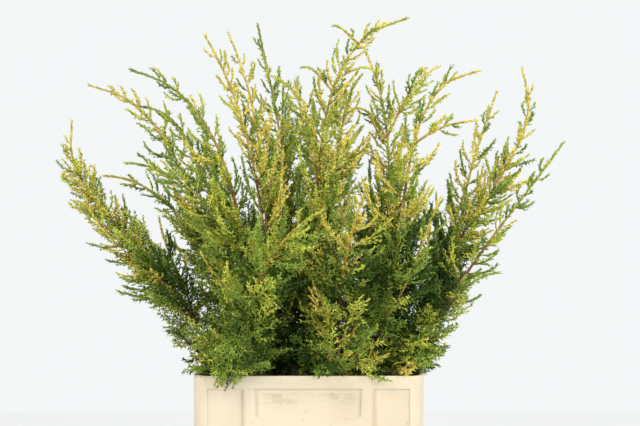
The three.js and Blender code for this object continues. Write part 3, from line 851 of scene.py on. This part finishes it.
# From just inside the tub up every stem is thick with short twigs, which mingle with their
# neighbours'
for owner, (name, line) in enumerate(stem_lines.items()):
    number = LOW_TWIGS_MORE.get(name, LOW_TWIGS)
    top = LOW_TOPS.get(name, LOW_TOP)
    for i in range(number):
        height = LOW_FROM + (top - LOW_FROM) * ((i + luck.uniform()) / number) ** LOW_CROWDING
        t = line.share_at_height(height)
        root, axis = line.at(t), line.heading(t)
        above_rim = height - RIM_HEIGHT
        for attempt in range(LOW_TRIES):
            away = sideways(axis, i * GOLDEN_ANGLE + attempt * TRY_TURN + luck.uniform(0, TURN_JITTER))
            least, most = LOW_LEAN if above_rim > 0 else LEAN_IN_TUB
            lean = luck.uniform(least, most - LOW_LEAN_LESS * max(0, above_rim))
            along = turned(axis, np.cross(axis, away), math.radians(lean))
            long = luck.uniform(*LOW_REACH) * (1 - TRY_SHORTER * attempt)
            if in_low_bounds(root + along * long * ALONG_TWIG).all():
                add_twig(owner, root, along, long, away, np.cross(away, axis))
                break

# Some reach out over each corner of the rim, and a few hang down over it at the front left:
# the middle of their tips, their tips' and roots' heights, and their number
CORNER = (158, 116)
OVERHANGS = [((x * CORNER[0], y * CORNER[1]), (303, 345), (290, 350), 18)
             for x, y in ((-1, -1), (1, -1), (1, 1), (-1, 1))]
OVERHANGS.append(((-126, -150), (284, 304), (332, 376), 20))
OVERHANG_SPREAD = 17
for goal, tip_heights, root_heights, number in OVERHANGS:
    owner = min(range(len(STEMS)), key=lambda k: math.dist(list(STEMS.values())[k]["rim"], goal))
    line = list(stem_lines.values())[owner]
    for i in range(number):
        root = line.at(line.share_at_height(luck.uniform(*root_heights)))
        tip = np.array([*(goal + luck.normal(0, OVERHANG_SPREAD, 2)), luck.uniform(*tip_heights)])
        long = np.linalg.norm(tip - root)
        along = (tip - root) / long
        if in_low_bounds(root + along * long * ALONG_TWIG).all():
            away = unit(np.array([0.0, 0, 1]) - along * along[2])
            add_twig(owner, root, along, long, away, np.cross(along, away))

# Two stems are clothed in short twigs nearly to their tips: the low left one in needly twigs,
# the tall right one in scaly ones
CLOTHED = {
    "left_low": dict(twigs=120, heights=(400, 606), reach=(50, 36), needly=True),
    "right_tall": dict(twigs=56, heights=(430, 620), reach=(62, 44), needly=False),
}
for name, dress in CLOTHED.items():
    owner, line = list(stem_lines).index(name), stem_lines[name]
    for i in range(dress["twigs"]):
        up_stem = (i + luck.uniform()) / dress["twigs"]
        height = np.interp(up_stem, (0, 1), dress["heights"])
        t = line.share_at_height(height)
        root, axis = line.at(t), line.heading(t)
        away = sideways(axis, i * GOLDEN_ANGLE + luck.uniform(0, TURN_JITTER))
        along = turned(axis, np.cross(axis, away), math.radians(luck.uniform(34, 62)))
        long = np.interp(up_stem, (0, 1), dress["reach"]) * luck.uniform(0.7, 1.1)
        share = (height - PLUME_START) / (STEMS[name]["tip"][2] - PLUME_START)
        add_twig(owner, root, along, long, away, np.cross(away, axis), share, dress["needly"])

BOW = 0.10                # how far a twig bows out between its root and its tip
TWIG_RINGS = 3
TWIG_SIDES = 3
TWIG_FOOT = ((20, 128), (0.7, 1.25))  # the radius at its foot, by its length
TWIG_TAPER = 0.55
LEAFY_FROM = 0.15         # share of a twig's length past which scale leaves hide its wood
luck = np.random.default_rng(23)
bow = np.array([unit(s["away"] - s["along"] * np.dot(s["away"], s["along"])) for s in sprays])
root, along, length, up, owner, share_up = (
    np.array([s[what] for s in sprays]) for what in ("root", "along", "length", "up", "owner", "t"))
across = unit(np.cross(up, along))
needly_twig = np.array([s.get("needly", False) for s in sprays])
bows = BOW * luck.uniform(0.4, 1.5, len(sprays))
twig_foot = np.interp(length, *TWIG_FOOT)[:, None]


def twig_spot(which, u):
    """A point on a twig, at a share of its length."""
    straight = root[which] + along[which] * (length[which] * u)[:, None]
    return straight + bow[which] * (length[which] * bows[which] * 4 * u * (1 - u))[:, None]


def twig_heading(which, u):
    return unit(along[which] + bow[which] * (bows[which] * 4 * (1 - 2 * u))[:, None])


def twig_tubes(which, start, end):
    """Twigs from one share of their length to another."""
    steps = np.linspace(start, end, TWIG_RINGS)
    lines = np.stack([twig_spot(which, np.full(len(which), u)) for u in steps], 1)
    return tubes(lines, twig_foot[which] * (1 - TWIG_TAPER * steps)[None], TWIG_SIDES)


batches = [twig_tubes(np.arange(len(sprays)), 0, LEAFY_FROM)]

# The shoots themselves: the young upper part of each stem, every fork and every skirt shoot
SHOOT_SIDES = 6
shoots_by_mass = []
for k, mass in enumerate(masses):
    for j, shoot in enumerate(mass["shoots"]):
        line = shoot["line"]
        if mass["name"].startswith("foliage") and j == 0:
            name = mass["name"][len("foliage_"):]
            line = stem_lines[name].part(young_from[name], 1)
            thick = lambda s: stem_radius(young_from[name] + s * (1 - young_from[name]))
        else:
            thick = lambda s: shoot["radius"] + (STEM_TIP_RADIUS - shoot["radius"]) * s
        batches.append(bark_tube(line, thick, SHOOT_SIDES, luck))
        shoots_by_mass.append((k, shoot["line"]))

WOOD_ORANGE = (0.58, 0.33, 0.055, 1)
WOOD_BROWN = (0.28, 0.12, 0.03, 1)
# Heights in metres between which the wood turns from dark to orange, how much higher that is on
# the low left stem, and how much lower on the two sprigs in front
OLD_BELOW, YOUNG_ABOVE = 0.40, 0.56
LEFT_OLDER = 0.10
FRONT_YOUNGER = 0.17
young_wood, tree, shader, place = new_material("young_wood", 0.6)
colour = surfaced(shader, place, wood_fibre, Fineness=300, Furrow=WOOD_BROWN, Ridge=WOOD_ORANGE)
x_side, y_side, height = fed("ShaderNodeSeparateXYZ", place).outputs
height = worked("SUBTRACT", height, ramp(x_side, -0.25, -0.15, LEFT_OLDER, 0))
height = worked("ADD", height, ramp(y_side, -0.135, -0.105, FRONT_YOUNGER, 0))
tree.links.new(mixed(ramp(height, OLD_BELOW, YOUNG_ABOVE), BARK_DARK, colour), shader.inputs["Base Color"])
make_piece("twigs_in_young_wood", batches, young_wood, [m["name"] for m in masses])


# The foliage
# Flat sprays of branchlets. Old and high ones are thin green cords of scale leaves pressed
# close; low in the bush the branchlets bristle with short needles. Colour changes by spray.

TINTS = {
    "gold": ((0.73, 0.62, 0.125, 1), (0.52, 0.46, 0.065, 1), "foliage_gold"),
    "lime": ((0.56, 0.59, 0.085, 1), (0.35, 0.39, 0.042, 1), "foliage_yellow_green"),
    "green": ((0.29, 0.395, 0.058, 1), (0.145, 0.215, 0.022, 1), "foliage_green"),
    "deep": ((0.070, 0.133, 0.013, 1), (0.026, 0.057, 0.006, 1), "foliage_deep_green"),
}
TINT_NAMES = list(TINTS)
DEEP = TINT_NAMES.index("deep")
# How often each tint is dealt to a stem's sprays, low down and at its tip, by its main tint
DEALS = {
    "gold": ((0.04, 0.20, 0.42, 0.34), (0.66, 0.26, 0.08, 0.0)),
    "yellow_green": ((0.03, 0.20, 0.44, 0.33), (0.22, 0.52, 0.26, 0.0)),
    "green": ((0.02, 0.14, 0.46, 0.38), (0.06, 0.40, 0.54, 0.0)),
    "lime_sprig": ((0.0, 0.38, 0.50, 0.12), (0.15, 0.85, 0.0, 0.0)),
    "olive_gold": ((0.08, 0.24, 0.40, 0.28), (0.46, 0.36, 0.18, 0.0)),
    "deep_green": ((0.01, 0.10, 0.43, 0.46), (0.03, 0.24, 0.49, 0.24)),
}
# The same for a low twig: inside the bush, where its deep greens are partly old foliage and partly
# painted shade, and where its tip comes into the light left and right
DEAL_INSIDE_SHADE = np.array((0.0, 0.02, 0.22, 0.76))
DEAL_LEFT = np.array((0.01, 0.13, 0.54, 0.32))
DEAL_RIGHT = np.array((0.05, 0.24, 0.50, 0.21))
# The same for the shaded right middle of the bush, whose deep greens are painted shade, an oval
# across and up, in millimetres
DEAL_SHADE = np.array((0.0, 0.03, 0.25, 0.72))
SHADE_MIDDLE = np.array((155, 475))
SHADE_HALF = np.array((130, 100))
SHADE_DEPTH = 0.92
SHADE_FADE = 1.7          # how steeply it fades at its edge
LIT_FROM, LIT_OVER = 0.45, 0.4          # shares of the low foliage's half width
RIGHT_FROM, RIGHT_OVER = -20, 80
# The two sprigs in front stand in the light, and are scaly throughout
SPRIGS = ("foliage_front_left", "foliage_front_right")
# No twig is deep green, which is partly painted shade, above about this height, nor past this
# share of the low foliage's half width. Both reach further in the shade.
DEEP_BELOW, SHADE_HIGHER = 500, 60
FAR_OUT, SHADE_FURTHER = 1.1, 0.2

luck = np.random.default_rng(5)
low, high = (np.array([DEALS[masses[k]["tint"]][end] for k in owner]) for end in (0, 1))
turn = np.array([masses[k]["turn"] for k in owner])
deal = low + (high - low) * (np.maximum(share_up, 0) ** turn)[:, None]
tips = root + along * length[:, None]
# Twigs further inside the low foliage are dealt deeper greens, partly painted shade
outward = np.sqrt(((tips[:, :2] / LOW_BOUNDS) ** 2).sum(1))
lit = np.clip((outward - LIT_FROM) / LIT_OVER, 0, 1)[:, None]
rightward = np.clip((tips[:, :1] - RIGHT_FROM) / RIGHT_OVER, 0, 1)
deal_outside = DEAL_LEFT + (DEAL_RIGHT - DEAL_LEFT) * rightward
deal = np.where(share_up[:, None] < 0, DEAL_INSIDE_SHADE + (deal_outside - DEAL_INSIDE_SHADE) * lit, deal)
# Painted shade: twigs whose tips lie in that oval are dealt mostly deep green
from_shade = (((tips[:, ::2] - SHADE_MIDDLE) / SHADE_HALF) ** 2).sum(1)
sprig = np.array([masses[k]["name"] in SPRIGS for k in owner])
shade = np.clip(SHADE_FADE - SHADE_FADE * from_shade, 0, 1) * ~sprig
deal += (DEAL_SHADE - deal) * SHADE_DEPTH * shade[:, None]
chance = np.cumsum(deal, 1)
spray_tint = (luck.uniform(0, 1, len(owner))[:, None] > chance).sum(1).clip(0, DEEP)
in_light = root[:, 2] + luck.normal(0, 30, len(root)) > DEEP_BELOW + SHADE_HIGHER * shade
in_light |= outward > FAR_OUT + SHADE_FURTHER * shade
spray_tint[in_light] = spray_tint[in_light].clip(0, DEEP - 1)


def dealt(counts):
    """So many things on each of several hosts: every thing's host, and its number there."""
    host = np.repeat(np.arange(len(counts)), counts)
    return host, np.arange(len(host)) - np.repeat(np.cumsum(counts) - counts, counts)


def square_to(v, heading):
    """The part of each direction that is square to a heading, made one long."""
    return unit(v - heading * np.sum(v * heading, -1, keepdims=True))


def leaning(heading, flat, turn, degrees):
    """Directions that open from a heading by so many degrees, to the side that a turn gives."""
    opening = np.radians(degrees)[:, None]
    return heading * np.cos(opening) + turned(flat, heading, turn[:, None]) * np.sin(opening)


# Branchlets leave each twig on both sides, shorter towards its tip
BRANCHLET_EVERY = 10.2
BRANCHLETS_FROM, BRANCHLETS_OVER = 0.07, 0.91    # shares of the twig
BRANCHLET_REACH = 0.55    # the longest branchlet as a share of its twig, low in the bush
HIGH_REACH = 0.43         # and high up
BRANCHLET_LEAST = 6
BRANCHLET_OPEN = 52       # degrees from the twig at its foot, and how much less high up and at its tip
LESS_HIGH, LESS_AT_TIP = 12, 18
BRANCHLET_CURL = 0.16
NEEDLES_BELOW = 400       # below about this height the branchlets carry needles, above it scales
HIGH_OVER = 120
count = np.maximum(3, np.round(length / BRANCHLET_EVERY * 2)).astype(int)
which, step = dealt(count)
share = BRANCHLETS_FROM + BRANCHLETS_OVER * (step + luck.uniform(0.2, 0.8, len(which))) / count[which]
heading = twig_heading(which, share)
above = np.clip((root[which, 2] - NEEDLES_BELOW) / HIGH_OVER, 0, 1)
turn = luck.normal(0, 0.42, len(which)) + np.where(step % 2, math.pi, 0)
branch_dir = leaning(
    heading, square_to(across[which], heading), turn,
    BRANCHLET_OPEN - LESS_HIGH * above - LESS_AT_TIP * share + luck.normal(0, 6, len(which)))
reach = (BRANCHLET_REACH + (HIGH_REACH - BRANCHLET_REACH) * above) * length[which]
branch_long = np.maximum(BRANCHLET_LEAST, reach * (1 - share) ** 0.8 * luck.uniform(0.65, 1.05, len(which)))
branch_root = twig_spot(which, share)
branch_bend = square_to(heading, branch_dir)
branch_curl = BRANCHLET_CURL * luck.uniform(0.2, 1.4, len(which))


def branch_spot(chosen, share):
    """A point on a branchlet, at a share of its length."""
    straight = branch_root[chosen] + branch_dir[chosen] * (branch_long[chosen] * share)[:, None]
    bent = branch_long[chosen] * branch_curl[chosen] * share * share
    return straight + branch_bend[chosen] * bent[:, None]


def branch_heading(chosen, share):
    return unit(branch_dir[chosen] + branch_bend[chosen] * (2 * branch_curl[chosen] * share)[:, None])


# One that would reach into the tub, or too far into a neighbour's space, is left off
BRANCHLET_MARGIN = -4
ends = branch_spot(np.arange(len(which)), np.ones(len(which)))
is_low = share_up[which] < 0
ends_low = in_low_bounds(ends)
keep = ends_low & is_low
for number in range(len(masses)):
    mine = (owner[which] == number) & ~is_low
    keep[mine] = free(ends[mine], number, BRANCHLET_MARGIN)
keep &= ends_low | (ends[:, 2] > RIM_HEIGHT + OVER_RIM)
kept = np.flatnonzero(keep)

STRAY = 0.05              # share of the branchlets that are one tint off their spray's
branch_tint = spray_tint[which].copy()
stray = luck.uniform(0, 1, len(which)) < STRAY
off = branch_tint[stray] + luck.choice((-1, 1), stray.sum())
branch_tint[stray] = off.clip(0, np.where(is_low[stray], DEEP, DEEP - 1))

# Low twigs bristle more on the left than on the right: the share with needles, by place across
NEEDLY = ((-70, 30), (0.9, 0.4))
needly_low = (luck.uniform(0, 1, len(root)) < np.interp(root[:, 0], *NEEDLY)) & (share_up < 0)
needly = (branch_root[:, 2] + luck.normal(0, 28, len(which)) < NEEDLES_BELOW) & ~is_low
needly |= (needly_low | needly_twig)[which]
needly &= ~(sprig[which] & ~is_low)


def awls(roots, directions, lengths, radii):
    """Small closed needles, three sides round, thickest at their roots."""
    side = beside_of(directions)
    third = np.cross(directions, side)
    spin = np.arange(3) * 2 * math.pi / 3
    around = side[:, None] * np.cos(spin)[:, None] + third[:, None] * np.sin(spin)[:, None]
    ring = roots[:, None] + around * radii[:, None, None]
    points = np.concatenate([ring, (roots + directions * lengths[:, None])[:, None]], 1)
    return points, np.array([(0, 2, 1), (3, 0, 1), (3, 1, 2), (3, 2, 0)])


def spindles(roots, directions, lengths, radii, widest):
    """Small closed cords, three sides round, thickest at a share of their length."""
    thickest = roots + directions * (lengths * widest)[:, None]
    points, _ = awls(thickest, directions, lengths * (1 - widest), radii)
    points = np.concatenate([roots[:, None], points], 1)
    return points, np.array([(0, 2, 1), (0, 3, 2), (0, 1, 3), (4, 1, 2), (4, 2, 3), (4, 3, 1)])


# The two kinds of leaf along a branchlet: their spacing in each of their ranks, where they
# start, how far they lean out in degrees with its spread, their length towards the tip and the
# foot, the radius of the branchlet's own cord, and how fine and strong the painted light and shade
# of single leaves is: even on scales that hug the wood, strong on needles that stand apart
LEAVES = {
    "scale": dict(every=8.3, first=0.08, lean=(32, 7), long=(7, 13), ranks=2, cord=1.15,
                  grain=dict(Grain=170, Least=0.66, Most=1.42)),
    "needle": dict(every=7.4, first=0.02, lean=(50, 10), long=(9.5, 13), ranks=3, cord=0.55,
                   grain=dict(Grain=310, Least=0.40, Most=1.75)),
}
DEEP_SPARSER = 1.7        # how much wider both stand on the deep green ones inside the bush
LAST_LEAF = 0.99


def leaves_on(chosen, wider, every, first, lean, long, ranks, **_):
    """Leaves along branchlets, in ranks round them: their roots, directions and lengths."""
    number = np.maximum(2, np.round(branch_long[chosen] / (every * wider))).astype(int) * ranks
    host, step = dealt(number)
    mine = chosen[host]
    row = step // ranks + luck.uniform(0.1, 0.9, len(mine))
    share = np.minimum(first + (LAST_LEAF - first) * row * ranks / number[host], LAST_LEAF)
    heading = branch_heading(mine, share)
    turn = 2 * math.pi * (step % ranks) / ranks + luck.normal(0, 0.35, len(mine))
    direction = leaning(heading, square_to(branch_bend[mine], heading), turn, luck.normal(*lean, len(mine)))
    longs = long[0] + (long[1] - long[0]) * (1 - share) * luck.uniform(0.6, 1.15, len(mine))
    return branch_spot(mine, share), direction, np.minimum(longs, 0.2 * branch_long[mine] + 3)


WHORL_TURN = 0.9          # how far each whorl is turned against the one before


def whorled(heading, lean, spread):
    """Directions of leaves in threes round the wood, which lean away from it."""
    number = np.arange(len(heading))
    flat = unit(np.cross((0.0, 0.0, 1.0), heading) + 1e-6)
    turn = number * (2 * math.pi / 3) + number // 3 * WHORL_TURN
    return leaning(heading, flat, turn, luck.normal(lean, spread, len(heading)))


PRESSED_EVERY = 3.6       # spacing of the rows of scales pressed to a shoot near its tip
PRESSED_FROM = 0.4        # share of a leader's length from which they cover it, and of a fork's
PRESSED_ON_FORKS = 0.06
PRESSED_LEAN = (20, 6)
PRESSED_LONG = (6, 10)
PRESSED_RADIUS = 1.5
TWIG_SCALE_EVERY = 6.0    # spacing of the pairs of scales on a twig itself, and where they stand
TWIG_SCALES_FROM, TWIG_SCALES_OVER = 0.12, 0.87
# The tint of the scales on a stem's leafy end, by its main tint
TIP_TINTS = dict(gold="gold", yellow_green="gold", lime_sprig="lime", olive_gold="lime", green="green",
                 deep_green="deep")


def hugging(spots, headings):
    """Scales that hug the wood at spots along it."""
    return spots, whorled(headings, *PRESSED_LEAN), luck.uniform(*PRESSED_LONG, len(spots))


def pressed_leaves(tint):
    """The scales on the leafy ends of all shoots whose tip has that tint, and on its twigs."""
    rows = []
    for number, line in shoots_by_mass:
        mass = masses[number]
        if mass["rule"] is PLUME_RULE and TIP_TINTS[mass["tint"]] == TINT_NAMES[tint]:
            is_leader = line.points[0, 2] < PLUME_START + 5
            first = PRESSED_FROM if is_leader else PRESSED_ON_FORKS
            share = np.repeat(np.arange(first, 0.995, PRESSED_EVERY / line.length), 3)
            rows.append(hugging(line.at(share), line.heading(share)))
    high_up = (root[:, 2] > NEEDLES_BELOW) & (share_up >= 0)
    leafy = np.flatnonzero((spray_tint == tint) & high_up & ~needly_twig)
    number = np.round(length[leafy] / TWIG_SCALE_EVERY).astype(int) * 2
    host, step = dealt(number)
    share = TWIG_SCALES_FROM + TWIG_SCALES_OVER * (step // 2 * 2 + 1) / number[host]
    rows.append(hugging(twig_spot(leafy[host], share), twig_heading(leafy[host], share)))
    spots, directions, longs = (np.concatenate(part) for part in zip(*rows))
    return awls(spots, directions, longs, np.full(len(longs), PRESSED_RADIUS))


SHOOT_NEEDLE_EVERY = 4.2
SHOOT_NEEDLE_LEAN = (52, 8)
SHOOT_NEEDLE_LONG = (8, 11)
NEEDLE_RADIUS = 1.05


def shoot_needles(tint):
    """Needles in whorls of three along the low part of every shoot, which hide its wood."""
    roots, directions = [], []
    for turn, (number, line) in enumerate(shoots_by_mass):
        yellow = masses[number]["tint"] == "yellow_green"
        own_tint = TINT_NAMES.index("lime" if yellow else ("green", "deep")[turn % 2])
        share = np.repeat(np.arange(0.04, 0.995, SHOOT_NEEDLE_EVERY / line.length), 3)
        share = share[line.at(share)[:, 2] < NEEDLES_BELOW]
        if own_tint == tint and len(share):
            roots.append(line.at(share))
            directions.append(whorled(line.heading(share), *SHOOT_NEEDLE_LEAN))
    if not roots:
        return []
    roots, directions = np.concatenate(roots), np.concatenate(directions)
    longs = luck.uniform(*SHOOT_NEEDLE_LONG, len(roots))
    clear = in_low_bounds(roots + directions * longs[:, None])
    return [awls(roots[clear], directions[clear], longs[clear], np.full(clear.sum(), NEEDLE_RADIUS))]


# Every leaf material has the same surface: broad patches between two tones, painted highlights and
# shade on small scales that each seem to catch the light, and a waxy bloom between them
leaf_surface, given, made = effect(
    "leaf_surface", Place="in Vector", Bright="in Color", Dull="in Color", Grain="in Float", Least="in Float",
    Most="in Float", Colour="out Color", Roughness="out Float", Normal="out Vector")
link = leaf_surface.links.new
patches = ramp(noise(given["Place"], 42, 3), 0.36, 0.64)
# Painted highlights and shade: a fine noise lightens or darkens each small scale
single = noise(given["Place"], 310, 1)
link(given["Grain"], single.node.inputs["Scale"])
light = ramp(single, 0.3, 0.7)
link(given["Least"], light.node.inputs["To Min"])
link(given["Most"], light.node.inputs["To Max"])
lighter = node(leaf_surface, "ShaderNodeHueSaturation")
link(mixed(patches, given["Bright"], given["Dull"]), lighter.inputs["Color"])
link(light, lighter.inputs["Value"])
link(lighter.outputs["Color"], made["Colour"])
bloom = noise(given["Place"], 900, 2)
link(ramp(bloom, 0.3, 0.7, 0.5, 0.68), made["Roughness"])
link(bumped(bloom, 0.4, 0.0004), made["Normal"])

SHORT = 15                # a branchlet shorter than this in millimetres is a plain spindle
CORD_RADIUS = 1.55        # of a side cord of scales, which is thinner where it is shorter than this
CORD_FULL = 7
CORD_SHARES = np.array([0, 0.55, 1.0])
CORD_TAPER = np.array([1, 0.85, 0.4])
SIDES = {"left": lambda x: x < 0, "right": lambda x: x >= 0}
for number, (tint, (bright, dull, slot)) in enumerate(TINTS.items()):
    for kind, leaf in LEAVES.items():
        material, tree, shader, place = new_material(f"juniper_{kind}_{tint}", 0.55)
        shader.inputs["Specular IOR Level"].default_value = 0.22
        colour = surfaced(shader, place, leaf_surface, Bright=bright, Dull=dull, **leaf["grain"])
        tree.links.new(colour, shader.inputs["Base Color"])

        chosen = kept[(branch_tint[kept] == number) & (needly[kept] == (kind == "needle"))]
        roots, directions, longs = leaves_on(chosen, DEEP_SPARSER if tint == "deep" else 1, **leaf)
        leaf_tips = roots + directions * longs[:, None]
        clear = outside_tub(leaf_tips, 1) | (np.abs(leaf_tips[:, :2]) < OPENING).all(1)
        roots, directions, longs = roots[clear], directions[clear], longs[clear]
        short, long = chosen[branch_long[chosen] < SHORT], chosen[branch_long[chosen] >= SHORT]
        cords = np.stack([branch_spot(long, np.full(len(long), share)) for share in CORD_SHARES], 1)
        batches = [
            tubes(cords, leaf["cord"] * CORD_TAPER[None] * np.ones((len(long), 1)), 3),
            spindles(branch_root[short], branch_heading(short, np.full(len(short), 0.5)),
                     branch_long[short], np.full(len(short), leaf["cord"]), 0.3)]
        if kind == "scale":
            radii = CORD_RADIUS * np.minimum(1, longs / CORD_FULL)
            batches.append(spindles(roots, directions, longs, radii, 0.4))
            batches.append(twig_tubes(np.flatnonzero(spray_tint == number), LEAFY_FROM, 1))
            batches.append(pressed_leaves(number))
        else:
            batches.append(awls(roots, directions, longs, np.full(len(longs), NEEDLE_RADIUS)))
            batches += shoot_needles(number)
        for side, on_side in SIDES.items():
            half = [(spots[on_side(spots[:, 0, 0])], pattern) for spots, pattern in batches]
            make_piece(f"{kind}_leaves_{tint}_{side}", half, material, [m["name"] for m in masses])

low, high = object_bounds()
